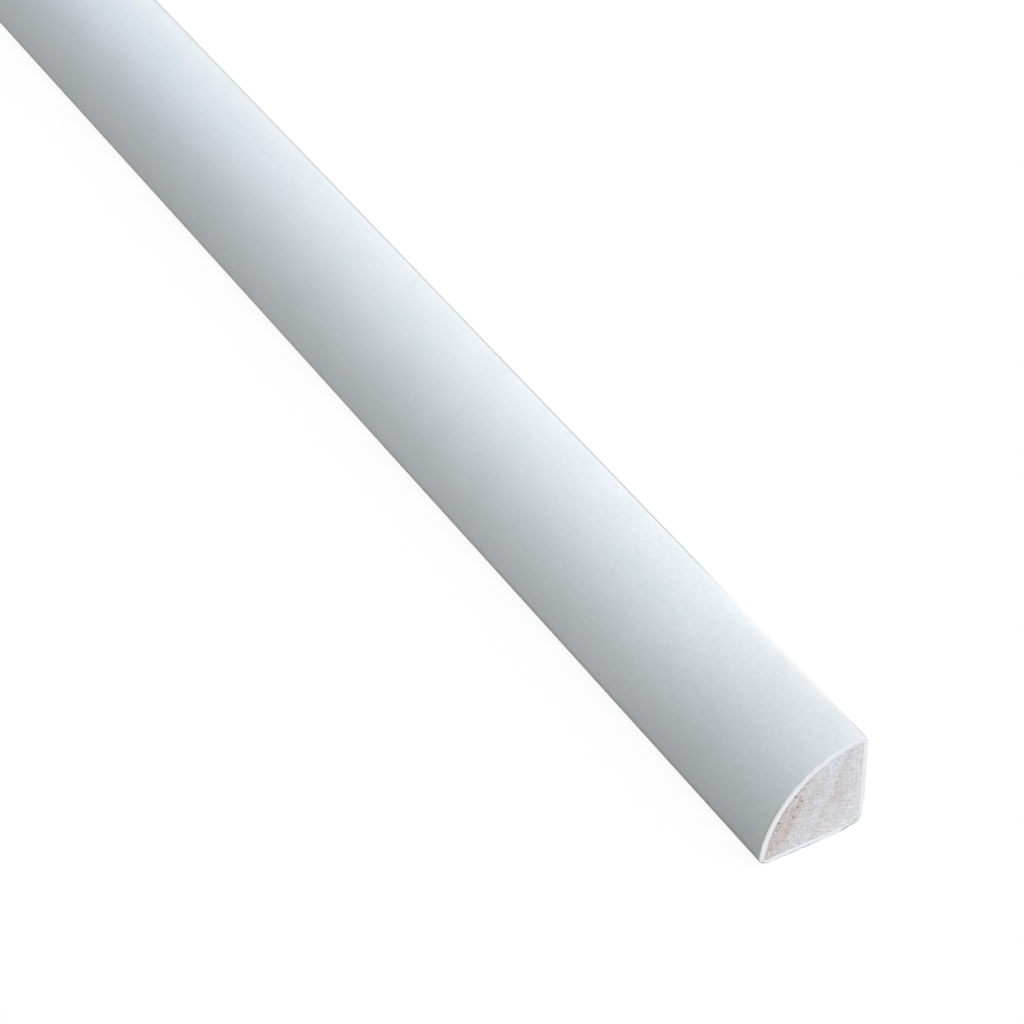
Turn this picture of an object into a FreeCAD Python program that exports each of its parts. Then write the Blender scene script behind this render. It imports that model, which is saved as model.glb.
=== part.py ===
"""Quarter round moulding: a straight stick of milled wood with a white coat and bare sawn ends.

The stick lies on its floor face. +X runs along it, +Y points to the wall and +Z points up.
The origin is under the middle of the stick, at the centre of the section's width.
"""

import FreeCAD
import Part
import Sketcher
import math
import os

# Driving dimensions in millimetres. The section's are the finished ones, with the coat on.
SIZES = {
    "stock_length": 900.0,  # the stick, from sawn end to sawn end
    "round_radius": 18.1,  # the round face, whose centre is on the floor
    "wall_land": 1.0,  # from the wall face to the middle of the round
    "wall_edge_radius": 1.2,  # the eased edge between the wall face and the round face
    "nose_radius": 1.85,  # the eased edge between the round face and the floor face
    "wall_relief": 5.4,  # from the floor up to where the wall face starts to lean in towards the heel
    "floor_relief": 4.6,  # from the wall to where the floor face starts to rise towards the heel
    "heel_radius": 0.5,  # the eased corner between the two leaning stretches
    "coat_thickness": 0.95,  # the white coat, alike on the three long faces
    "heel_wall_coat": 0.45,  # what it tapers to beside the wood's heel, on the wall side
    "heel_floor_coat": 0.2,  # what it tapers to under the wood's heel
    "bare_heel_radius": 0.4,  # the wood's own heel
}

# The nose is tangent to the floor and to the inside of the round. The section's width runs from the nose to
# the wall face.
NOSE_REACH = "sqrt((Sizes.round_radius - Sizes.nose_radius)^2 - Sizes.nose_radius^2)"
HALF_WIDTH = f"({NOSE_REACH} + Sizes.nose_radius + Sizes.wall_land) / 2"

# The leaning stretches would meet in a sharp tip, a little in from the wall face and up from the floor face.
TIP_FROM_WALL = "(Sizes.coat_thickness - Sizes.heel_wall_coat)"
TIP_FROM_FLOOR = "(Sizes.coat_thickness - Sizes.heel_floor_coat)"

START, END, CENTRE = 1, 2, 3  # points of a sketched line or arc
SKETCH_ORIGIN = (-1, 1)
SKETCH_X_AXIS = -1
QUARTER_TURN = math.pi / 2


def make_sheet(doc):
    """The spreadsheet that every sketch and pad takes its sizes from."""
    sheet = doc.addObject("Spreadsheet::Sheet", "Sizes")
    for row, (name, value) in enumerate(SIZES.items(), start=1):
        sheet.set(f"A{row}", name)
        sheet.set(f"B{row}", str(value))
        sheet.setAlias(f"B{row}", name)
    doc.recompute()


def make_body(doc, name):
    """An empty body and a sketch across the stick, whose X is the part's Y and whose Y is the part's Z."""
    body = doc.addObject("PartDesign::Body", name)
    body.Label = name
    across = next(plane for plane in body.Origin.OriginFeatures if plane.Role == "YZ_Plane")
    sketch = body.newObject("Sketcher::SketchObject", f"{name}_section")
    sketch.AttachmentSupport = [(across, "")]
    sketch.MapMode = "FlatFace"
    return body, sketch


def worth(sketch, expression):
    """The number that an expression on the sheet comes to."""
    return float(sketch.evalExpression(expression))


def direction(start, end):
    """The angle of the way from one point to another."""
    return math.atan2(end[1] - start[1], end[0] - start[0])


def line(sketch, start, end):
    return sketch.addGeometry(Part.LineSegment(FreeCAD.Vector(*start), FreeCAD.Vector(*end)), False)


def arc(sketch, centre, radius, first_angle, last_angle):
    """An arc drawn anticlockwise about its centre."""
    circle = Part.Circle(FreeCAD.Vector(*centre), FreeCAD.Vector(0, 0, 1), radius)
    return sketch.addGeometry(Part.ArcOfCircle(circle, first_angle, last_angle), False)


def constrain(sketch, kind, *where):
    return sketch.addConstraint(Sketcher.Constraint(kind, *where))


def dimension(sketch, kind, *where, to):
    """A dimension of the sketch that starts at, and follows, the value of an expression on the sheet."""
    index = constrain(sketch, kind, *where, worth(sketch, to))
    sketch.setExpression(f"Constraints[{index}]", to)


def rounded_corner(before, tip, after, radius):
    """Centre, first and last point of the arc that rounds a tip between two straight stretches."""
    before, tip, after = (FreeCAD.Vector(*point) for point in (before, tip, after))
    back = (before - tip).normalize()
    onward = (after - tip).normalize()
    half_angle = back.getAngle(onward) / 2
    reach = radius / math.tan(half_angle)
    centre = tip + (back + onward).normalize() * (radius / math.sin(half_angle))
    return [(point.x, point.y) for point in (centre, tip + back * reach, tip + onward * reach)]


def close_outline(sketch, edges, sharp_after=()):
    """Join each edge's end to the next one's start, tangentially except after the named edges."""
    for edge, following in zip(edges, edges[1:] + edges[:1]):
        kind = "Coincident" if edge in sharp_after else "Tangent"
        constrain(sketch, kind, edge, END, following, START)


def place_round(sketch, round_face, radius):
    """Centre the round on the floor, one land from the wall face, and give it its radius."""
    constrain(sketch, "PointOnObject", round_face, CENTRE, SKETCH_X_AXIS)
    dimension(sketch, "DistanceX", *SKETCH_ORIGIN, round_face, CENTRE, to=f"{HALF_WIDTH} - Sizes.wall_land")
    dimension(sketch, "Radius", round_face, to=radius)


def draw_wood_outline(sketch):
    """The milled section, one coat inside the finished one, with a sharp nose and a sharp wall edge."""
    half_width = worth(sketch, HALF_WIDTH)
    bare_heel = SIZES["bare_heel_radius"]
    coat = SIZES["coat_thickness"]
    bare_radius = SIZES["round_radius"] - coat
    round_centre = (half_width - SIZES["wall_land"], 0)
    wall_y = half_width - coat
    heel_centre = (wall_y - bare_heel, coat + bare_heel)
    top = (wall_y, math.sqrt(bare_radius**2 - (wall_y - round_centre[0]) ** 2))
    nose = (round_centre[0] - math.sqrt(bare_radius**2 - coat**2), coat)
    round_start = direction(round_centre, top)
    round_end = direction(round_centre, nose)

    floor = line(sketch, nose, (heel_centre[0], coat))
    heel = arc(sketch, heel_centre, bare_heel, -QUARTER_TURN, 0)
    wall = line(sketch, (wall_y, heel_centre[1]), top)
    round_face = arc(sketch, round_centre, bare_radius, round_start, round_end)

    close_outline(sketch, [floor, heel, wall, round_face], sharp_after=(wall, round_face))
    constrain(sketch, "Horizontal", floor)
    constrain(sketch, "Vertical", wall)
    dimension(sketch, "DistanceX", *SKETCH_ORIGIN, wall, START, to=f"{HALF_WIDTH} - Sizes.coat_thickness")
    dimension(sketch, "DistanceY", *SKETCH_ORIGIN, floor, START, to="Sizes.coat_thickness")
    dimension(sketch, "Radius", heel, to="Sizes.bare_heel_radius")
    place_round(sketch, round_face, radius="Sizes.round_radius - Sizes.coat_thickness")


def draw_finished_outline(sketch):
    """The finished section: two flat faces that lean in towards the heel, and the round."""
    half_width = worth(sketch, HALF_WIDTH)
    radius = SIZES["round_radius"]
    edge = SIZES["wall_edge_radius"]
    nose_radius = SIZES["nose_radius"]
    land = SIZES["wall_land"]
    round_centre = (half_width - land, 0)
    edge_centre = (half_width - edge, math.sqrt((radius - edge) ** 2 - (land - edge) ** 2))
    nose_centre = (nose_radius - half_width, nose_radius)
    round_start = direction(round_centre, edge_centre)
    round_end = direction(round_centre, nose_centre)
    floor_end = (half_width - SIZES["floor_relief"], 0)
    wall_start = (half_width, SIZES["wall_relief"])
    tip_place = (half_width - worth(sketch, TIP_FROM_WALL), worth(sketch, TIP_FROM_FLOOR))
    heel_radius = SIZES["heel_radius"]
    heel_centre, heel_start, heel_end = rounded_corner(floor_end, tip_place, wall_start, heel_radius)
    heel_turn = [direction(heel_centre, point) for point in (heel_start, heel_end)]

    floor = line(sketch, (nose_centre[0], 0), floor_end)
    floor_lean = line(sketch, floor_end, heel_start)
    heel = arc(sketch, heel_centre, heel_radius, *heel_turn)
    wall_lean = line(sketch, heel_end, wall_start)
    wall = line(sketch, wall_start, (half_width, edge_centre[1]))
    wall_edge = arc(sketch, edge_centre, edge, 0, round_start)
    round_face = arc(sketch, round_centre, radius, round_start, round_end)
    nose = arc(sketch, nose_centre, nose_radius, round_end, 3 * QUARTER_TURN)
    tip = sketch.addGeometry(Part.Point(FreeCAD.Vector(*tip_place)), True)

    edges = [floor, floor_lean, heel, wall_lean, wall, wall_edge, round_face, nose]
    close_outline(sketch, edges, sharp_after=(floor, wall_lean))
    constrain(sketch, "Horizontal", floor)
    constrain(sketch, "Vertical", wall)
    constrain(sketch, "PointOnObject", floor, START, SKETCH_X_AXIS)
    constrain(sketch, "PointOnObject", tip, START, floor_lean)
    constrain(sketch, "PointOnObject", tip, START, wall_lean)
    dimension(sketch, "DistanceX", *SKETCH_ORIGIN, tip, START, to=f"{HALF_WIDTH} - {TIP_FROM_WALL}")
    dimension(sketch, "DistanceY", *SKETCH_ORIGIN, tip, START, to=TIP_FROM_FLOOR)
    dimension(sketch, "DistanceX", *SKETCH_ORIGIN, floor, END, to=f"{HALF_WIDTH} - Sizes.floor_relief")
    dimension(sketch, "DistanceX", *SKETCH_ORIGIN, wall, START, to=HALF_WIDTH)
    dimension(sketch, "DistanceY", *SKETCH_ORIGIN, wall, START, to="Sizes.wall_relief")
    dimension(sketch, "Radius", heel, to="Sizes.heel_radius")
    dimension(sketch, "Radius", wall_edge, to="Sizes.wall_edge_radius")
    dimension(sketch, "Radius", nose, to="Sizes.nose_radius")
    place_round(sketch, round_face, radius="Sizes.round_radius")


def run_along_stick(body, sketch):
    """Carry the section both ways from the middle of the stick, with both ends cut square."""
    pad = body.newObject("PartDesign::Pad", f"{body.Label}_run")
    pad.Profile = sketch
    pad.SideType = "Symmetric"
    pad.setExpression("Length", "Sizes.stock_length")


def make_wood_core(doc):
    """The milled wood, bare only on the sawn ends."""
    body, sketch = make_body(doc, "wood_core")
    draw_wood_outline(sketch)
    run_along_stick(body, sketch)
    return body


def make_white_coat(doc):
    """The coat round the wood. It stops flush with the wood where the stick was sawn."""
    body, sketch = make_body(doc, "white_coat")
    draw_finished_outline(sketch)
    draw_wood_outline(sketch)
    run_along_stick(body, sketch)
    return body


def check(doc, bodies):
    """Stop on a failed object, a sketch with freedom left or a body that isn't one valid solid."""
    for item in doc.Objects:
        if {"Invalid", "Error"} & set(item.State):
            raise RuntimeError(f"{item.Label} failed: {item.State}")
        if item.TypeId == "Sketcher::SketchObject" and not item.FullyConstrained:
            raise RuntimeError(f"{item.Label} isn't fully constrained")
    for body in bodies:
        if body.Shape.isNull() or not body.Shape.isValid() or len(body.Shape.Solids) != 1:
            raise RuntimeError(f"{body.Label} isn't one valid solid")


doc = FreeCAD.newDocument("quarter_round_moulding")
make_sheet(doc)
bodies = [make_wood_core(doc), make_white_coat(doc)]
doc.recompute()
check(doc, bodies)

os.makedirs("parts", exist_ok=True)
for body in bodies:
    body.Shape.exportStep(f"parts/{body.Label}.step")
    box = body.Shape.BoundBox
    extents = f"{box.XLength:.3f} x {box.YLength:.3f} x {box.ZLength:.3f} mm"
    print(f"{body.Label}: {extents}, {body.Shape.Volume:.1f} mm3")
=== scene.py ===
"""Quarter round moulding: milled wood with a white coat on its long faces and two bare sawn ends.

The stick lies on its floor face. +X runs along it, +Y points to the wall and +Z points up. Lengths
are in metres.
"""

import bpy
import math
import numpy as np
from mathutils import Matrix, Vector


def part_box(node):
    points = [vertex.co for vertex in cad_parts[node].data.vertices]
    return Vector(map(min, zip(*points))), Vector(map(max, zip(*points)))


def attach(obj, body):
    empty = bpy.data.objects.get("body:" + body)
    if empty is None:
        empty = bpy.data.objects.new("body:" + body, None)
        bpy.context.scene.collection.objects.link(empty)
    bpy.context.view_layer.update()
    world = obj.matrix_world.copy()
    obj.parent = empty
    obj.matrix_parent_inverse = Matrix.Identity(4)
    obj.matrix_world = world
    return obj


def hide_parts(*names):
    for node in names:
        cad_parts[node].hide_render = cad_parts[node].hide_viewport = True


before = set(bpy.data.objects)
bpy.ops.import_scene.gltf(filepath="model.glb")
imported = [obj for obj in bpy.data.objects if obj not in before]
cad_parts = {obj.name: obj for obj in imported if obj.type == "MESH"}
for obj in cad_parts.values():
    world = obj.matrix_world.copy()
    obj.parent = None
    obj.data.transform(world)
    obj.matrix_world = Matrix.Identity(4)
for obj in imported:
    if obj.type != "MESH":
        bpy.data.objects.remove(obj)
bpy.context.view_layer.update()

# The wood core is one straight stick of pale wood, planed to a quarter round with crisp arrises. A
# saw has cut it square, so growth rings, rays and open pores show on both ends. It is made here as a
# run, which the coat hides, and a thin slice at each end, which carries the sawn face.

MM = 0.001
coat_low, coat_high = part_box("white_coat")
core_low, core_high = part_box("wood_core")
half_length = coat_high.x
wall_y = coat_high.y
coat_thickness = core_low.z - coat_low.z
round_radius = core_high.z + coat_thickness  # about a centre on the floor
round_y = wall_y - 1.0 * MM  # the middle of the round
wall_relief = 5.4 * MM  # height at which the wall face starts to lean in towards the heel
floor_relief = 4.6 * MM  # distance from the wall at which the floor face starts to rise to the heel
joint_line = 0.008 * MM  # between the wood and the coat
fewest_steps = 6  # along any stretch of the outline
crisp_edge = math.radians(50)  # an edge that turns by more than this isn't shaded smooth

# The radii of the eased edges, and how far the heel's tip stands in from the wall face and up from
# the floor face, with the coat on and on the planed wood.
finished_section = {
    "inset": 0,
    "heel": 0.5 * MM,
    "wall_edge": 1.2 * MM,
    "nose": 1.85 * MM,
    "tip_in": 0.5 * MM,
    "tip_up": 0.75 * MM,
}
bare_section = {
    "inset": coat_thickness,
    "heel": 0.4 * MM,
    "wall_edge": 0.1 * MM,
    "nose": 0.1 * MM,
    "tip_in": 0,
    "tip_up": 0,
}


def arc_points(centre, radius, first, last, steps):
    """Points along an arc, anticlockwise from its first turn to its last."""
    turn = np.linspace(first, last, steps + 1)
    return centre + radius * np.column_stack([np.cos(turn), np.sin(turn)])


def rounded_tip(before, tip, after, radius, steps):
    """Points along the arc that rounds a tip between two straight stretches.

    Its centre lies on the line that halves the angle at the tip, one radius from both stretches.
    """
    back = (before - tip) / np.linalg.norm(before - tip)
    onward = (after - tip) / np.linalg.norm(after - tip)
    middle = (back + onward) / np.linalg.norm(back + onward)
    half_angle = math.acos(back @ onward) / 2
    centre = tip + middle * radius / math.sin(half_angle)
    outward = math.atan2(-middle[1], -middle[0])
    half_turn = math.pi / 2 - half_angle
    return arc_points(centre, radius, outward - half_turn, outward + half_turn, steps)


def section_outline(section, spacing, gap=0):
    """The closed outline of a section, as rows of Y and Z, moved in by its inset and the gap.

    It runs anticlockwise as seen from +X: the heel, the wall face, the wall edge, the round face, the
    nose and the floor face. The wall edge and the nose are arcs tangent to the inside of the round and
    to their flat face. Both flats have a stretch that leans towards the heel. The count of points comes
    from the finished section, so the rows of two outlines belong together.
    """
    inset = section["inset"] + gap
    radius = round_radius - inset
    wall_edge, nose = section["wall_edge"], section["nose"]
    past_middle = wall_y - inset - wall_edge - round_y
    edge_rise = math.sqrt((radius - wall_edge) ** 2 - past_middle**2)
    edge_centre = np.array([round_y + past_middle, edge_rise])
    nose_reach = math.sqrt((radius - nose) ** 2 - (inset + nose) ** 2)
    nose_centre = np.array([round_y - nose_reach, inset + nose])
    round_start = math.atan2(edge_rise, past_middle)
    round_end = math.pi - math.atan2(nose_centre[1], nose_reach)
    floor_end = np.array([wall_y - floor_relief, inset])
    wall_start = np.array([wall_y - inset, wall_relief])
    tip = np.array([wall_y - inset - section["tip_in"], inset + section["tip_up"]])

    quarter = math.pi / 2
    lengths = [finished_section[edge] * quarter for edge in ("heel", "wall_edge", "nose")]
    lengths += [round_radius * quarter, wall_relief, round_radius, 2 * wall_y, floor_relief]
    steps = [max(fewest_steps, math.ceil(length / spacing)) for length in lengths]
    heel_arc = rounded_tip(floor_end, tip, wall_start, section["heel"], steps[0])
    edge_arc = arc_points(edge_centre, wall_edge, 0, round_start, steps[1])
    nose_arc = arc_points(nose_centre, nose, round_end, 3 * quarter, steps[2])
    stretches = [
        heel_arc,
        np.linspace(heel_arc[-1], wall_start, steps[4] + 1),
        np.linspace(wall_start, edge_arc[0], steps[5] + 1),
        edge_arc,
        arc_points(np.array([round_y, 0]), radius, round_start, round_end, steps[3]),
        nose_arc,
        np.linspace(nose_arc[-1], floor_end, steps[6] + 1),
        np.linspace(floor_end, heel_arc[0], steps[7] + 1),
    ]
    return np.concatenate([stretch[:-1] for stretch in stretches])


def closed_mesh(name, rings, poles):
    """A closed mesh through an array of rings of points, (ring, place round it, XYZ).

    Each ring joins up with itself and with the next one. With poles, the first and last rings are single
    points, closed by triangles. Without poles, the last ring joins the first.
    """
    body = rings[1:-1] if poles else rings
    around = body.shape[1]
    index = np.arange(body.shape[0] * around).reshape(-1, around)
    low, high = (index[:-1], index[1:]) if poles else (index, np.roll(index, -1, axis=0))
    next_low, next_high = np.roll(low, -1, axis=1), np.roll(high, -1, axis=1)
    quads = np.stack([low, high, next_high, next_low], axis=-1).reshape(-1, 4)
    points = body.reshape(-1, 3)
    triangles = np.empty((0, 3), int)
    if poles:
        first_pole, last_pole = len(points), len(points) + 1
        points = np.concatenate([points, rings[0, :1], rings[-1, :1]])
        start = [np.full(around, first_pole), index[0], np.roll(index[0], -1)]
        end = [index[-1], np.full(around, last_pole), np.roll(index[-1], -1)]
        triangles = np.concatenate([np.stack(start, axis=-1), np.stack(end, axis=-1)])
    corners = np.concatenate([quads.ravel(), triangles.ravel()])
    quad_starts = np.arange(len(quads)) * 4
    triangle_starts = quads.size + np.arange(len(triangles)) * 3
    mesh = bpy.data.meshes.new(name)
    mesh.vertices.add(len(points))
    mesh.vertices.foreach_set("co", points.astype(np.float32).ravel())
    mesh.loops.add(len(corners))
    mesh.loops.foreach_set("vertex_index", corners.astype(np.int32))
    mesh.polygons.add(len(quads) + len(triangles))
    starts = np.concatenate([quad_starts, triangle_starts])
    mesh.polygons.foreach_set("loop_start", starts.astype(np.int32))
    mesh.update(calc_edges=True)
    mesh.shade_smooth()
    mesh.set_sharp_from_angle(angle=crisp_edge)
    return mesh


def show_piece(mesh, material, node):
    """An object for a finished mesh: it rides on the part's one body and stands for one node."""
    piece = bpy.data.objects.new(mesh.name, mesh)
    bpy.context.scene.collection.objects.link(piece)
    mesh.materials.append(material)
    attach(piece, "root")
    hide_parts(node)


# The tree's middle lies outside the section, so the rings cross it as arcs. The grain runs a little
# askew, so the far end shows other rings than the near one.
pith_y = -30.0 * MM
pith_z = 21.3 * MM
middle_ring = 34.4 * MM  # radius of the pale blue ring across the middle of the near end
grain_drift_y = 0.005
grain_drift_z = -0.003

end_slice = 3 * MM
face_spacing = 0.13 * MM  # between the points of a sawn face
face_rings = 96
face_share = 0.994  # of the way from the section's heart to its rim, where the edge starts to ease
eased_edge = 0.03 * MM
run_spacing = 0.5 * MM  # between the points of the hidden run's outline
run_rings = 31
pore_cell = 0.7 * MM  # about one pore to each square of this size
pore_table = 64  # cells after which the random pores repeat
smallest_pore = 0.07  # radius in millimetres, and the largest random pore has twice that
large_pore = 0.17 * MM  # radius across the section
pore_squeeze = 0.8  # a large pore is a little taller than it is wide
dark_rings_start = 3.2  # millimetres inside the middle ring
shut_pore = 0.4  # a pore this open at random, or less, is shut
widest_pore = 0.55  # how open a random pore can be
pore_depth = 0.13 * MM
fibre_cells = ((0.22 * MM, 97), (0.7 * MM, 53))  # size of a tuft, and of the random table it reads
fibre_depth = 0.02 * MM
saw_mark_depth = 0.008 * MM
saw_mark_pitch = 0.9 * MM
saw_mark_radius = 120 * MM  # of the blade's teeth, which sweep arcs over the face
near_end_seed = 11
far_end_seed = 23
# The pores that stand out on the near end, most of them in the dark rings: Y and Z in millimetres, and
# how open each one is.
large_pores = (
    (-3.4, 11.7, 1.0), (-2.2, 10.2, 0.8), (-2.9, 9.3, 0.9), (-3.6, 7.5, 1.0), (-6.2, 7.5, 1.0),
    (-6.6, 6.3, 0.75), (-7.1, 5.8, 0.7), (-1.7, 12.5, 0.6), (-7.5, 2.6, 0.7), (-4.3, 2.7, 0.5),
    (-2.3, 1.4, 0.45), (0.7, 10.2, 0.6), (-1.4, 13.4, 0.6), (-5.1, 9.9, 0.4), (-0.9, 7.6, 0.35),
    (-2.6, 8.2, 0.4), (-3.2, 3.0, 0.35), (1.6, 12.9, 0.35), (5.9, 13.6, 0.35), (4.8, 5.6, 0.3),
)


def smooth_random(across, up, cell, table):
    """A smooth random field: a table's values at the corners of square cells, blended between them."""
    column, row = np.floor(across / cell).astype(int), np.floor(up / cell).astype(int)
    s, t = across / cell - column, up / cell - row
    s, t = s * s * (3 - 2 * s), t * t * (3 - 2 * t)
    size = len(table)
    left, right = column % size, (column + 1) % size
    below, above = row % size, (row + 1) % size
    lower = table[left, below] * (1 - s) + table[right, below] * s
    upper = table[left, above] * (1 - s) + table[right, above] * s
    return lower * (1 - t) + upper * t


def ring_place(y, z):
    """How far outside the middle ring a point lies: its distance from the pith, less that radius."""
    return np.hypot(y - pith_y, z - pith_z) - middle_ring


def open_pores(y, z, random, chosen):
    """How deep in a pore each point lies, from 0 to 1.

    Each pore is a round pit with a bell-shaped wall. One stands at a random place in each square cell,
    more often open in the dark rings, and the chosen ones are added.
    """
    shift = random.random((2, pore_table, pore_table))
    radius = random.random((pore_table, pore_table))
    opening = random.random((pore_table, pore_table))
    column, row = np.floor(y / pore_cell).astype(int), np.floor(z / pore_cell).astype(int)
    deepest = np.zeros_like(y)
    for step_y, step_z in np.ndindex(3, 3):
        cell = (column + step_y - 1, row + step_z - 1)
        key = (cell[0] % pore_table, cell[1] % pore_table)
        pore_y = (cell[0] + shift[0][key]) * pore_cell
        pore_z = (cell[1] + shift[1][key]) * pore_cell
        dark = np.clip(-ring_place(pore_y, pore_z) / MM - dark_rings_start, 0, 1)
        pore_radius = (smallest_pore + smallest_pore * radius[key]) * MM
        strength = np.clip(opening[key] * (0.8 + 0.45 * dark) - shut_pore, 0, widest_pore)
        distance = np.hypot(y - pore_y, z - pore_z)
        deepest = np.maximum(deepest, strength * np.exp(-((distance / pore_radius) ** 2)))
    for pore_y, pore_z, openness in chosen:
        distance = np.hypot(y - pore_y * MM, (z - pore_z * MM) * pore_squeeze)
        deepest = np.maximum(deepest, openness * np.exp(-((distance / large_pore) ** 2)))
    return deepest


def sawn_slice(name, end_x, outward, seed, chosen_pores):
    """The slice at one end of the core, and how open its pores are at each vertex.

    Rings grow from the heart of the section to its rim over the sawn face, go down the side and close
    on the back. The face lies below the cut by the pits of its pores, by ragged fibres and by the arcs
    that the saw's teeth leave.
    """
    rim = section_outline(bare_section, face_spacing, gap=joint_line)
    heart = rim.mean(axis=0)
    share = np.concatenate([np.linspace(0, face_share, face_rings), [1, 1, 0.5, 0]])
    below = np.concatenate([np.zeros(face_rings), [eased_edge, end_slice, end_slice, end_slice]])
    section = heart + share[:, None, None] * (rim - heart)
    y, z = section[..., 0], section[..., 1]

    random = np.random.default_rng(seed)
    pores = open_pores(y, z, random, chosen_pores)
    fibres = sum(smooth_random(y, z, cell, random.random((size, size))) for cell, size in fibre_cells)
    from_blade = np.hypot(y - saw_mark_radius, z + saw_mark_radius / 2)
    saw_marks = np.sin(from_blade / saw_mark_pitch * math.tau)
    relief = pores * pore_depth + fibres / 2 * fibre_depth + (saw_marks + 1) / 2 * saw_mark_depth
    on_face = (np.arange(len(share)) < face_rings)[:, None]
    x = end_x - outward * (below[:, None] + relief * on_face)

    rings = np.stack([x, y, z], axis=-1)
    pores = pores * on_face
    if outward < 0:
        rings, pores = rings[::-1], pores[::-1]
    mesh = closed_mesh(name, rings, poles=True)
    pore_values = np.concatenate([pores[1:-1].ravel(), pores[0, :1], pores[-1, :1]])
    attribute = mesh.attributes.new("pore", "FLOAT", "POINT")
    attribute.data.foreach_set("value", pore_values.astype(np.float32))
    return mesh


def hidden_run(name):
    """The core between the end slices: its outline carried along the stick and closed at both ends."""
    rim = section_outline(bare_section, run_spacing, gap=joint_line)
    heart = rim.mean(axis=0)
    reach = half_length - end_slice
    along = np.linspace(reach, -reach, run_rings)
    x = np.concatenate([[reach], along, [-reach]])
    share = np.concatenate([[0], np.ones(len(along)), [0]])
    section = heart + share[:, None, None] * (rim - heart)
    rings = np.dstack([np.repeat(x[:, None], len(rim), axis=1), section])
    return closed_mesh(name, rings, poles=True)


class Socket:
    """One output of a node tree. Operators on values add Math nodes, and node() adds any other node."""

    def __init__(self, tree, output=None):
        self.tree = tree
        self.output = output

    def node(self, kind, settings=None, sockets=None, output=0):
        """Add a node, first its settings and then its sockets' values or links, and give one output."""
        added = self.tree.nodes.new(kind)
        for name, value in (settings or {}).items():
            setattr(added, name, value)
        for name, value in (sockets or {}).items():
            if isinstance(value, Socket):
                self.tree.links.new(value.output, added.inputs[name])
            else:
                added.inputs[name].default_value = value
        return Socket(self.tree, added.outputs[output])

    def other(self, name):
        """Another output of the same node."""
        return Socket(self.tree, self.output.node.outputs[name])

    def math(self, operation, first, second):
        """A Math node on two values or sockets."""
        return self.node("ShaderNodeMath", {"operation": operation}, {0: first, 1: second})

    def __add__(self, value):
        return self.math("ADD", self, value)

    def __radd__(self, value):
        return self.math("ADD", value, self)

    def __sub__(self, value):
        return self.math("SUBTRACT", self, value)

    def __rsub__(self, value):
        return self.math("SUBTRACT", value, self)

    def __mul__(self, value):
        return self.math("MULTIPLY", self, value)

    def __rmul__(self, value):
        return self.math("MULTIPLY", value, self)

    def __pow__(self, value):
        return self.math("POWER", self, value)

    def rise(self, low, high):
        """0 below the low value and 1 above the high one, with a smooth step between them."""
        step = {"Value": self, "From Min": low, "From Max": high}
        return self.node("ShaderNodeMapRange", {"interpolation_type": "SMOOTHSTEP"}, step)

    def blend(self, colour, other):
        """The first colour where this mask is 0 and the other where it is 1."""
        colours = {0: self, 6: colour, 7: other}
        return self.node("ShaderNodeMix", {"data_type": "RGBA"}, colours, output=2)

    def tinted(self, tint):
        """This colour or vector, multiplied by another one, channel by channel."""
        return self.node("ShaderNodeVectorMath", {"operation": "MULTIPLY"}, {0: self, 1: tint})

    def scaled(self, amount):
        """This colour or vector, multiplied by one value."""
        sockets = {"Vector": self, "Scale": amount}
        return self.node("ShaderNodeVectorMath", {"operation": "SCALE"}, sockets)

    def noise(self, stretch, detail=2.0):
        """Smooth noise about 0.5 at these coordinates, with so many waves a metre along X, Y and Z."""
        sockets = {"Vector": self.tinted(stretch), "Scale": 1.0, "Detail": detail}
        return self.node("ShaderNodeTexNoise", None, sockets)


def new_material(name):
    """A material with one shader, its node tree's first socket and the shader's node."""
    material = bpy.data.materials.new(name)
    material.use_nodes = True
    return material, Socket(material.node_tree), material.node_tree.nodes["Principled BSDF"]


def section_place(start):
    """Object coordinates, their axes, and the width and height in the section in millimetres."""
    place = start.node("ShaderNodeTexCoord", output="Object")
    axes = place.node("ShaderNodeSeparateXYZ", None, {"Vector": place})
    return place, axes, axes.other("Y") * (1 / MM), axes.other("Z") * (1 / MM)


def from_round_middle(axes):
    """The distance from the middle of the round, across the section."""
    past_middle = axes.other("Y") - round_y
    return (past_middle * past_middle + axes.other("Z") * axes.other("Z")) ** 0.5


def link_finish(shader, colour, roughness, relief, bump_strength, bump_distance):
    """Link a finish to its shader: its colour, its roughness and a fine relief as bump."""
    bump = {"Height": relief, "Strength": bump_strength, "Distance": bump_distance}
    normal = relief.node("ShaderNodeBump", None, bump)
    finish = {"Base Color": colour, "Roughness": roughness, "Normal": normal}
    for name, value in finish.items():
        value.tree.links.new(value.output, shader.inputs[name])


wood_grey = (0.648, 0.643, 0.652, 1)
wood_pale_side = (0.752, 0.764, 0.79, 1)
wood_red = (0.595, 0.507, 0.487, 1)
wood_blue_ring = (0.675, 0.722, 0.80, 1)
wood_blue_top = (0.70, 0.757, 0.865, 1)
wood_red_streak = (0.655, 0.575, 0.56, 1)
wood_warm_patch = (0.66, 0.61, 0.603, 1)
wood_cool_patch = (0.67, 0.69, 0.75, 1)
wood_bleed = (0.80, 0.825, 0.92, 1)
wood_joint_shade = (0.40, 0.36, 0.46, 1)
wood_joint_fibre = (0.58, 0.40, 0.30, 1)
pore_brown = (0.13, 0.09, 0.08, 1)
wood_roughness = 0.72
wood_shine = 0.3
wood_bump = 0.05 * MM
wood_bump_strength = 0.4


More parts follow.
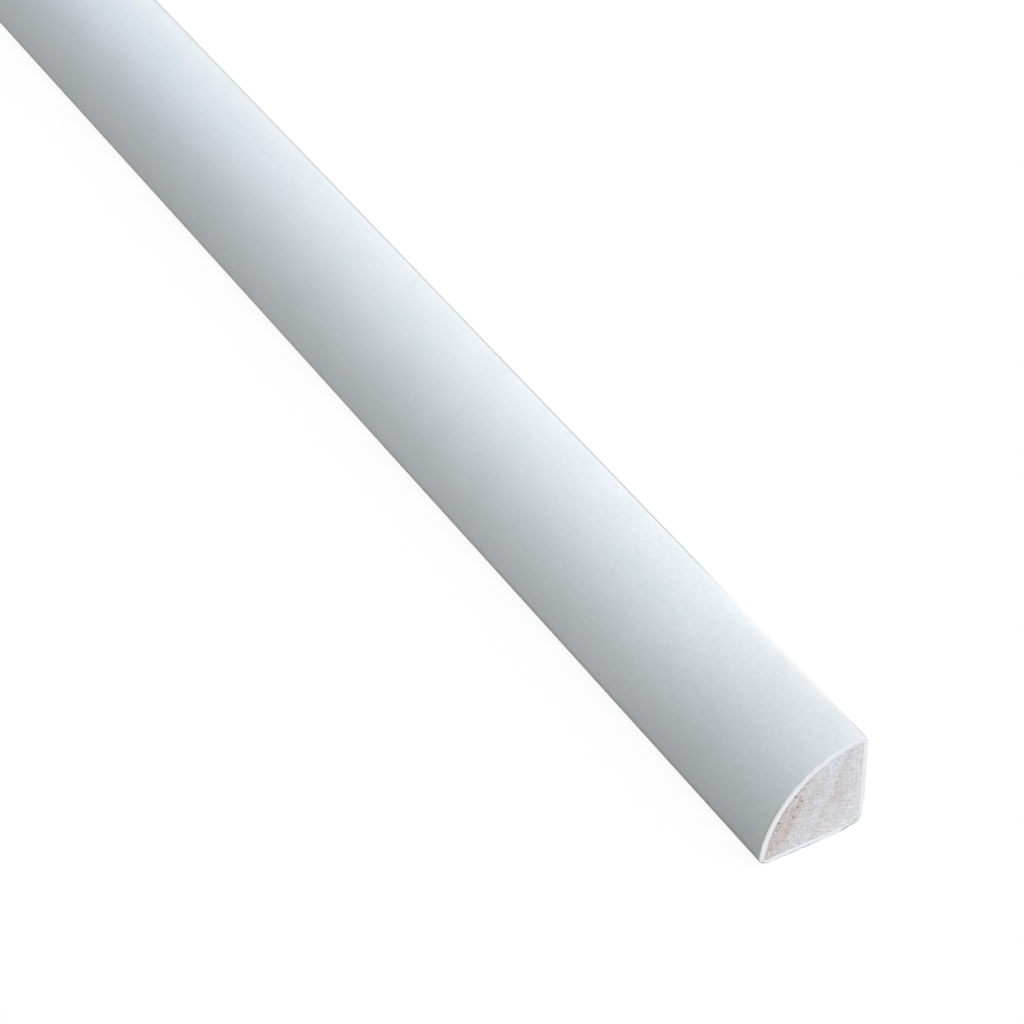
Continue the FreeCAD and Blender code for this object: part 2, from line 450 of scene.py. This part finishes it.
def bare_wood_material():
    """End grain, coloured by the distance from the pith, with rays across the rings, patches and pores.

    The rings towards the nose are red. A blue ring crosses the middle, with a red streak along its outer
    side, and beyond that the wood is paler. Next to the coat on the round side, it is white where primer
    has bled in, and shaded beside that. By the wall, a few torn fibres are brown. Widths, heights and
    distances from a ring or a face are in millimetres.
    """
    material, start, shader = new_material("bare_wood")
    place, axes, width, height = section_place(start)
    from_near_end = axes.other("X") - half_length
    across = axes.other("Y") + from_near_end * grain_drift_y - pith_y
    up = axes.other("Z") + from_near_end * grain_drift_z - pith_z
    wander = place.noise((40, 260, 260), detail=3.0) - 0.5
    ragged = place.noise((40, 1100, 1100), detail=3.0) - 0.5
    from_pith = (across * across + up * up) ** 0.5
    ring = (from_pith - middle_ring) * (1 / MM) + wander + ragged * 1.2

    patches = place.noise((60, 620, 620)).rise(0.4, 0.68)
    pale_top = height.rise(9, 13) * (1 - width.rise(1, 4))
    pale_corner = (1 - height.rise(2, 8)) * width.rise(0, 6)
    pale_floor = (1 - height.rise(1.5, 4.5)) * width.rise(-0.5, 1.5)
    pale = width.rise(4.5, 9) * 0.95 + pale_corner * 0.42 + pale_top * 0.2 + pale_floor * 0.28
    colour = pale.blend(wood_grey, wood_pale_side)
    low_shift = 0.6 - height.rise(6, 11) * 0.6
    dark_rings = (1 - (ring - low_shift).rise(-5.0, -3.6)) * (1 - height.rise(8.5, 12.5) * 0.35)
    colour = (dark_rings * (0.68 + patches * 0.4)).blend(colour, wood_red)
    spread = height.rise(10, 14) * 0.6 + (1 - height.rise(2, 6))
    shifted = ring + height.rise(3, 6) * (1 - height.rise(10, 12)) * 0.35
    blue_ring = (ring + spread * 0.8).rise(-2.3, 0.1) * (1 - shifted.rise(0.7, 1.2))
    blueness = (1 - patches * 0.4) * (0.78 + height.rise(7, 11) * 0.22)
    ring_colour = height.rise(13.5, 16).blend(wood_blue_ring, wood_blue_top)
    colour = (blue_ring * blueness).blend(colour, ring_colour)
    widest = height.rise(7, 8.2) * (1 - height.rise(9.6, 11))
    streak = shifted.rise(0.9, 1.3) * (1 - (shifted - widest * 0.9).rise(1.4, 2.1))
    streak = streak * (1 - height.rise(12, 13.2))
    reddest = height.rise(7, 8.5) * (0.25 + patches * 0.5)
    colour = (streak * (0.25 + reddest)).blend(colour, wood_red_streak)

    turn = up.math("ARCTAN2", up, across) * middle_ring
    ray_place = ring.node("ShaderNodeCombineXYZ", None, {"X": turn, "Y": ring * MM})
    rays = ray_place.noise((2900, 520, 1))
    growth_lines = ray_place.noise((420, 2600, 1))
    grains = place.noise((300, 1900, 1900))
    fibres = place.noise((300, 3700, 3700))
    warm_patches = place.noise((300, 1100, 1100), detail=3.0).rise(0.5, 0.72)
    cool_patches = place.noise((260, 800, 800), detail=3.0).rise(0.5, 0.72)
    colour = (warm_patches * 0.65).blend(colour, wood_warm_patch)
    colour = (cool_patches * 0.6).blend(colour, wood_cool_patch)
    lines = (rays - 0.5) * 0.5 + (growth_lines - 0.5) * (0.15 + dark_rings * 0.35)
    clouds = wander * 0.15 + ragged * 0.12
    colour = colour.scaled(1 + (grains - 0.5) * 0.46 + (fibres - 0.5) * 0.62 + lines + clouds)

    from_coat = (round_radius - coat_thickness - from_round_middle(axes)) * (1 / MM)
    low_round = 1 - height.rise(12.5, 16)
    bleed = (1 - from_coat.rise(0.1, 0.4)) * low_round * height.rise(1, 3)
    shaded_joint = from_coat.rise(0.1, 0.3) * (1 - from_coat.rise(0.35, 0.75)) * low_round
    colour = (shaded_joint * (0.25 + patches * 0.35)).blend(colour, wood_joint_shade)
    colour = (bleed * 0.9).blend(colour, wood_bleed)
    from_wall = (wall_y - coat_thickness - axes.other("Y")) * (1 / MM)
    torn_height = height.rise(10.5, 12.5) * (1 - height.rise(15.2, 16.4) * 0.6)
    torn_fibre = (1 - from_wall.rise(0.05, 0.3)) * torn_height
    colour = (torn_fibre * (0.2 + patches * 0.4)).blend(colour, wood_joint_fibre)
    pore = place.node("ShaderNodeAttribute", {"attribute_name": "pore"}, output="Fac")
    colour = (pore.rise(0.08, 0.75) * 0.9).blend(colour, pore_brown)

    roughness = wood_roughness + (fibres - 0.5) * 0.3
    relief = fibres + grains * 0.6 + rays * 0.4
    link_finish(shader, colour, roughness, relief, wood_bump_strength, wood_bump)
    shader.inputs["Specular IOR Level"].default_value = wood_shine
    return material


bare_wood = bare_wood_material()
near_slice = sawn_slice("wood_core_near_end", half_length, 1, near_end_seed, large_pores)
far_slice = sawn_slice("wood_core_far_end", -half_length, -1, far_end_seed, [])
for core_mesh in (near_slice, hidden_run("wood_core_run"), far_slice):
    show_piece(core_mesh, bare_wood, "wood_core")

# The white coat is a layer of primer, run on to the wood through a shaped mouth before the stick was
# cut. It wraps the long faces, thins towards the wood's heel and stops flush with the sawn ends, where
# its edge shows as a rim.

coat_spacing = 0.3 * MM  # between the points of the outline
rows_behind_rim = (0.03, 0.1, 0.3, 1, 3)  # millimetres behind its eased edge
long_rows_start = 4 * MM  # behind the cut
long_rows = 120  # from there to the middle of the stick
corner_rows = 6
rim_rows = 9
cut_ease = 0.12 * MM  # the outer edge of the rim
nose_ease = 0.5 * MM  # more of it under the nose, where the saw breaks out
nose_ease_middle = -8.7 * MM  # across the stick
nose_ease_reach = 1.2 * MM
most_ease = 0.6  # share of the coat's thickness
inner_ease = 0.03 * MM  # the edge of the rim against the wood
chip_reach = 0.16 * MM  # from a rim's edge
chip_depth = 0.05 * MM
chip_waves = 39  # sines round the rim that add up to its chips
chip_swing = 0.35  # the largest of them
wave_height = 0.015 * MM  # of the coat's long, slow waves
wave_turns = (31, 73)  # radians to a metre of the two slow waves
chip_seed = 5
contact_shade_width = 0.36 * MM  # of the grey lines of painted contact shadow along the rim's lower edge
# Where the rim carries painted contact shadow: the middle and the reach of each stretch in millimetres,
# and its tone.
contact_shade_stretches = ((-8.5, 1.1, 1.2), (-2.0, 3.8, 0.6), (7.3, 2.0, 1.0))


def coat_wall(name):
    """The coat as a closed wall: the outline carried round a loop through the coat's own thickness.

    The loop runs out along the inside, over the near rim, back along the outside and over the far rim.
    Each of its points has a place along the stick and a depth between the finished outline and the bare
    wood's. Its corners are quarter arcs, larger under the nose. Slow waves move the outside, and small
    chips take the rim's outer edge back. How much painted contact shadow the rim's lower edge carries,
    from
    0 to 1, is a bell round the middle of each shaded stretch, which falls with the depth and with how
    far the coat turns from facing down.
    """
    outer = section_outline(finished_section, coat_spacing)
    inner = section_outline(bare_section, coat_spacing)
    thickness = np.linalg.norm(inner - outer, axis=1)
    inward = (inner - outer) / thickness[:, None]
    facing_down = np.clip(inward[:, 1], 0, 1)
    under_nose = facing_down * np.exp(-(((outer[:, 0] - nose_ease_middle) / nose_ease_reach) ** 2))
    ease = cut_ease * (1 - 0.6 * facing_down) + nose_ease * under_nose
    ease = np.minimum(ease, thickness * most_ease)

    quarter = np.radians(np.linspace(0, 90, corner_rows))[:, None]
    behind_rim = np.array(rows_behind_rim)[:, None] * MM
    along = np.linspace(half_length - long_rows_start, 0, long_rows)[:, None]
    all_round = np.zeros_like(thickness)
    inside_x = np.array([[0], [half_length - end_slice]]) + all_round
    inside_depth = thickness + 0 * inside_x
    inner_corner_x = half_length - inner_ease * (1 - np.sin(quarter)) + all_round
    inner_corner_depth = thickness - inner_ease * (1 - np.cos(quarter))
    rim_depth = np.linspace(thickness - inner_ease, ease, rim_rows)[1:-1]
    rim_x = half_length + 0 * rim_depth
    outer_corner_x = half_length - ease * (1 - np.cos(quarter))
    outer_corner_depth = ease * (1 - np.sin(quarter))
    outside_x = np.concatenate([half_length - ease - behind_rim, along + all_round])
    outside_depth = 0 * outside_x
    x = np.concatenate([inside_x, inner_corner_x, rim_x, outer_corner_x, outside_x])
    depths = [inside_depth, inner_corner_depth, rim_depth, outer_corner_depth, outside_depth]
    depth = np.concatenate(depths)
    x = np.concatenate([x, -x[-2:0:-1]])
    depth = np.concatenate([depth, depth[-2:0:-1]])

    random = np.random.default_rng(chip_seed)
    turn = np.linspace(0, 1, x.shape[1], endpoint=False)
    phase = random.random((2, chip_waves))
    height = random.random((2, chip_waves)) * chip_swing
    swing = np.sin(math.tau * (turn[:, None] * np.arange(1, chip_waves + 1) + phase[:, None]))
    near, far = (height[:, None] * swing).sum(axis=2)
    ragged = np.where(x > 0, near, far)
    to_edge = np.hypot(half_length - np.abs(x), depth)
    chip = chip_depth * np.clip(ragged, 0, 1) * np.exp(-((to_edge / chip_reach) ** 2))
    slow = np.sin(x * wave_turns[0] + 1.1) + np.sin(x * wave_turns[1] + turn * math.tau + 0.4)
    wave = wave_height * (slow + 2) / 4 * (1 - depth / thickness)
    section = outer + inward * (depth + chip + wave)[..., None]
    mesh = closed_mesh(name, np.dstack([x - np.sign(x) * chip, section]), poles=False)

    # Painted contact shadow along the rim's lower edge, where it meets the floor.
    on_rim = np.exp(-(((half_length - np.abs(x)) / contact_shade_width) ** 2))
    contact_shade_tone = np.zeros_like(thickness)
    for middle, reach, tone in contact_shade_stretches:
        contact_shade_tone += tone * np.exp(-(((outer[:, 0] / MM - middle) / reach) ** 4))
    contact_shade = contact_shade_tone * np.sqrt(facing_down) * on_rim * np.exp(-((depth / contact_shade_width) ** 4))
    attribute = mesh.attributes.new("contact_shade", "FLOAT", "POINT")
    attribute.data.foreach_set("value", contact_shade.astype(np.float32).ravel())
    return mesh


coat_neutral = (0.793, 0.868, 0.901, 1)
coat_middle_highlight = (0.820, 0.905, 0.935, 1)
coat_crown_highlight = (0.849, 0.909, 0.935, 1)
coat_edge_shade = (0.55, 0.58, 0.62, 1)
cool_shade_tint = (0.972, 0.978, 1.015)
nose_shade_tint = (0.56, 0.54, 0.52)
cut_edge_tint = (0.93, 0.93, 0.93)
edge_highlight_tint = (1.07, 1.05, 1.045)
yellow_tint = (0.96, 0.89, 0.79)
corner_tint = (1.05, 1.02, 1.035)
mottle_tint = (1.015, 0.997, 1.006)
cut_white = (0.85, 0.875, 0.90, 1)
cut_blue = (0.832, 0.862, 0.94, 1)
cut_floor = (0.79, 0.857, 0.908, 1)
cut_outer = (0.785, 0.82, 0.837, 1)
cut_yellowed = (0.745, 0.742, 0.64, 1)
cut_bright_tint = (1.05, 1.065, 1.04)
cut_joint_tint = (0.88, 0.90, 0.88)
cut_nose_shade_tint = (0.92, 0.95, 0.93)
contact_shade_grey = (0.25, 0.31, 0.36, 1)
coat_roughness = 0.46
coat_bump = 0.03 * MM
coat_bump_strength = 0.12
drift_wave = 0.35  # length of the slow wave of painted shade, cooler and darker, along the stick
drift_crest = 245 * MM  # from the near end to a crest of it
end_shade = 0.085  # share of the coat's brightness that painted shade takes off at its ends


def white_coat_material():
    """Satin primer: a slow wave of cooler tone along the stick, faint drawn lines and an eggshell grain.

    The coat is painted paler towards the top of the round, a painted highlight. The slow wave is painted
    shade, cooler and darker, most on the low round at its crest. Painted shade darkens it under the nose
    and near the ends. A thin grey line of painted shade follows the wall edge, apart from a painted
    highlight on a stretch near each end. The cut edge is whiter. It is bluish along the floor and next
    to the wood on the round side, brighter halfway up the round, shaded against the wood at the top,
    yellowed along its outer side and grey with painted contact shadow underneath. Widths, heights and
    distances from an end or from the wood are in millimetres.
    """
    material, start, shader = new_material("white_coat")
    place, axes, width, height = section_place(start)
    eggshell = place.noise((900, 1300, 1300))
    lines = place.noise((8, 1500, 1500))
    mottle = place.noise((120, 160, 160))
    from_end = (half_length - axes.math("ABSOLUTE", axes.other("X"), 0)) * (1 / MM)
    # A slow wave of painted shade along the stick: cooler on the middle of the round, darker all round
    # and most on the low round at its crest.
    from_crest = (half_length - drift_crest - axes.other("X")) * (math.tau / drift_wave)
    shade_drift = axes.math("COSINE", from_crest, 0).rise(-1, 1)

    # Painted highlight: the coat is paler towards the middle and the top of the round, where the light
    # falls.
    colour = width.rise(-9, 0).blend(coat_neutral, coat_middle_highlight)
    colour = width.rise(0, 9).blend(colour, coat_crown_highlight)
    cool_shade = shade_drift * width.rise(-9, -4) * (1 - width.rise(4, 8))
    colour = cool_shade.blend(colour, colour.tinted(cool_shade_tint))
    # Painted shade under the nose, stronger near the ends.
    under_nose = height.rise(0.03, 0.35) * (1 - height.rise(1.0, 2.7)) * (1 - width.rise(-8, -6))
    shaded = under_nose * (1 - from_end.rise(60, 160) * 0.45)
    colour = shaded.blend(colour, colour.tinted(nose_shade_tint))
    # Painted shade: the coat is darker near the ends, and most of all low down next to them.
    ends_shaded = 1 - (from_end + height * 0.6).rise(22, 52)
    low_end_shade = (1 - from_end.rise(4, 14)) * (1 - height.rise(3.5, 6.5))
    low_crest_shade = shade_drift**3 * (1 - width.rise(-6, 0))
    painted_shade = shade_drift * 0.035 + low_crest_shade * 0.045 + ends_shaded * end_shade + low_end_shade * 0.06
    colour = colour.scaled(1 - painted_shade)

    wall_width = wall_y / MM
    on_edge = height.rise(16.7, 17.3)
    # Painted highlight on the wall edge, on a stretch near each end.
    highlight_stretch = from_end.rise(4, 12) * (1 - from_end.rise(30, 45))
    edge_highlight = on_edge * width.rise(wall_width - 3.4, wall_width - 0.9) * highlight_stretch
    colour = edge_highlight.blend(colour, colour.tinted(edge_highlight_tint))
    # Painted shade: a thin grey line along the wall edge, with a wider, fainter one far from the ends.
    edge_shade_line = on_edge * width.rise(wall_width - 0.95, wall_width - 0.68)
    edge_shade_weight = from_end.rise(33, 52) + (1 - from_end.rise(2, 6)) * 0.65
    wide_edge_shade = on_edge * width.rise(wall_width - 2, wall_width - 0.6) * from_end.rise(160, 240)
    colour = (edge_shade_line * edge_shade_weight + wide_edge_shade * 0.25).blend(colour, coat_edge_shade)
    corner = width.rise(3, 8) * (1 - from_end.rise(1, 7))
    colour = corner.blend(colour, colour.tinted(corner_tint))
    colour = (1 - from_end.rise(0.12, 0.4)).blend(colour, colour.tinted(cut_edge_tint))
    yellowed = height.rise(4, 7) * (1 - height.rise(10, 14))
    by_cut = 1 - from_end.rise(0.15, 0.7)
    colour = (yellowed * by_cut).blend(colour, colour.tinted(yellow_tint))

    from_wood = (from_round_middle(axes) - round_radius + coat_thickness) * (1 / MM)
    round_rim = from_wood.rise(-0.5, -0.1)
    bluish = round_rim * (1 - from_wood.rise(0.2, 0.7))
    floor_side = (1 - height.rise(0.9, 1.3)) * width.rise(-7.5, -5)
    outer_side = from_wood.rise(0.4, 0.78)
    mid_round = bluish * height.rise(5, 8) * (1 - height.rise(12, 14))
    top_joint = round_rim * (1 - from_wood.rise(0.1, 0.4)) * height.rise(15.5, 16.8)
    top_joint = top_joint * (1 - width.rise(7.6, 8.4))
    cut_colour = bluish.blend(cut_white, cut_blue)
    cut_colour = mid_round.blend(cut_colour, cut_colour.tinted(cut_bright_tint))
    cut_colour = top_joint.blend(cut_colour, cut_colour.tinted(cut_joint_tint))
    cut_colour = floor_side.blend(cut_colour, cut_floor)
    cut_colour = outer_side.blend(cut_colour, yellowed.blend(cut_outer, cut_yellowed))
    # Painted shade on the cut edge under the nose.
    cut_colour = under_nose.blend(cut_colour, cut_colour.tinted(cut_nose_shade_tint))
    cut = 1 - from_end.rise(0, 0.05)
    colour = cut.blend(colour, cut_colour)

    # Painted contact shadow: the rim's lower edge turns grey where it meets the floor.
    contact_shade = place.node("ShaderNodeAttribute", {"attribute_name": "contact_shade"}, output="Fac")
    colour = contact_shade.rise(0.05, 0.95).blend(colour, contact_shade_grey)
    colour = mottle.rise(0.35, 0.65).blend(colour, colour.tinted(mottle_tint))
    grain = (eggshell - 0.5) * (0.15 - from_end.rise(35, 95) * 0.07)
    colour = colour.scaled(1 + grain + (lines - 0.5) * 0.03 + (mottle - 0.5) * 0.06)

    roughness = coat_roughness + (eggshell - 0.5) * 0.12 + cut * 0.25
    link_finish(shader, colour, roughness, eggshell + lines * 0.3, coat_bump_strength, coat_bump)
    return material


show_piece(coat_wall("white_coat_wall"), white_coat_material(), "white_coat")

# The studio: a very large pale floor that the stick lies on, a wide soft lamp high on the right and a
# white surround. The camera, and gloss, see the floor and the surround as white. The light that falls
# from them on the stick stays at a plain level.

white = (1, 1, 1, 1)
floor_reach = 60.0
floor_bounce = (0.44, 0.42, 0.41, 1)
floor_glow = 0.93  # share of the floor's white that a shadow doesn't darken
sky_level = 0.35
lamp_towards = Vector((0.62, 0.32, 0.72))
lamp_strength = 2.76
lamp_spread = math.radians(65)


def seen_directly(start):
    """1 for rays from the camera and for mirrored or refracted ones, and 0 for light on the object."""
    camera_ray = start.node("ShaderNodeLightPath", output="Is Camera Ray")
    seen = camera_ray.math("MAXIMUM", camera_ray, camera_ray.other("Is Glossy Ray"))
    return seen.math("MAXIMUM", seen, camera_ray.other("Is Transmission Ray"))


floor_mesh = bpy.data.meshes.new("floor")
corner_signs = ((-1, -1), (1, -1), (1, 1), (-1, 1))
floor_corners = [(x * floor_reach, y * floor_reach, 0) for x, y in corner_signs]
floor_mesh.from_pydata(floor_corners, [], [(0, 1, 2, 3)])
floor = bpy.data.objects.new("floor", floor_mesh)
bpy.context.scene.collection.objects.link(floor)
floor_material, floor_start, plain_shader = new_material("pale_floor")
floor_nodes = floor_material.node_tree.nodes
floor_nodes.remove(plain_shader)
bounce = floor_start.node("ShaderNodeBsdfDiffuse", None, {"Color": floor_bounce})
lit_white = floor_start.node("ShaderNodeBsdfDiffuse", None, {"Color": white})
glow = floor_start.node("ShaderNodeEmission", None, {"Color": white, "Strength": 1.0})
seen_floor = floor_start.node("ShaderNodeMixShader", None, {0: floor_glow, 1: lit_white, 2: glow})
seen = seen_directly(floor_start)
floor_shader = floor_start.node("ShaderNodeMixShader", None, {0: seen, 1: bounce, 2: seen_floor})
floor_surface = floor_nodes["Material Output"].inputs["Surface"]
floor_material.node_tree.links.new(floor_shader.output, floor_surface)
floor_mesh.materials.append(floor_material)

world = bpy.data.worlds.new("surround")
world.use_nodes = True
bpy.context.scene.world = world
surround = Socket(world.node_tree)
level = sky_level + seen_directly(surround) * (1 - sky_level)
background = world.node_tree.nodes["Background"]
world.node_tree.links.new(level.output, background.inputs["Strength"])
background.inputs["Color"].default_value = white

lamp_data = bpy.data.lights.new("soft_lamp", "SUN")
lamp_data.energy = lamp_strength
lamp_data.angle = lamp_spread
lamp = bpy.data.objects.new("soft_lamp", lamp_data)
lamp.rotation_euler = lamp_towards.to_track_quat("Z", "Y").to_euler()
bpy.context.scene.collection.objects.link(lamp)

# The camera looks down on the near end from the front, through a long lens. It is set by the square
# corner of the section's heel there, and by the photograph's pixel where that corner would be.

photo_side = 1024
heel_pixel = (862.9, 822.2)
camera_azimuth = math.radians(59.165)
camera_elevation = math.radians(40.208)
camera_distance = 0.6213
camera_lens = 143.8
camera_sensor = 36.0

right = Vector((math.cos(camera_azimuth), math.sin(camera_azimuth), 0))
back = Vector((
    math.sin(camera_azimuth) * math.cos(camera_elevation),
    -math.cos(camera_azimuth) * math.cos(camera_elevation),
    math.sin(camera_elevation),
))
upward = back.cross(right)
pixel = camera_distance * camera_sensor / camera_lens / photo_side
heel_corner = Vector((half_length, coat_high.y, coat_low.z))
heel_across = (heel_pixel[0] - photo_side / 2) * pixel
heel_down = (heel_pixel[1] - photo_side / 2) * pixel
aim = heel_corner - right * heel_across + upward * heel_down

camera_data = bpy.data.cameras.new("camera")
camera_data.lens = camera_lens
camera_data.sensor_width = camera_sensor
camera = bpy.data.objects.new("camera", camera_data)
camera.location = aim + back * camera_distance
camera.rotation_euler = (math.pi / 2 - camera_elevation, 0, camera_azimuth)
bpy.context.scene.collection.objects.link(camera)
bpy.context.scene.camera = camera
bpy.context.scene.view_settings.view_transform = "Standard"
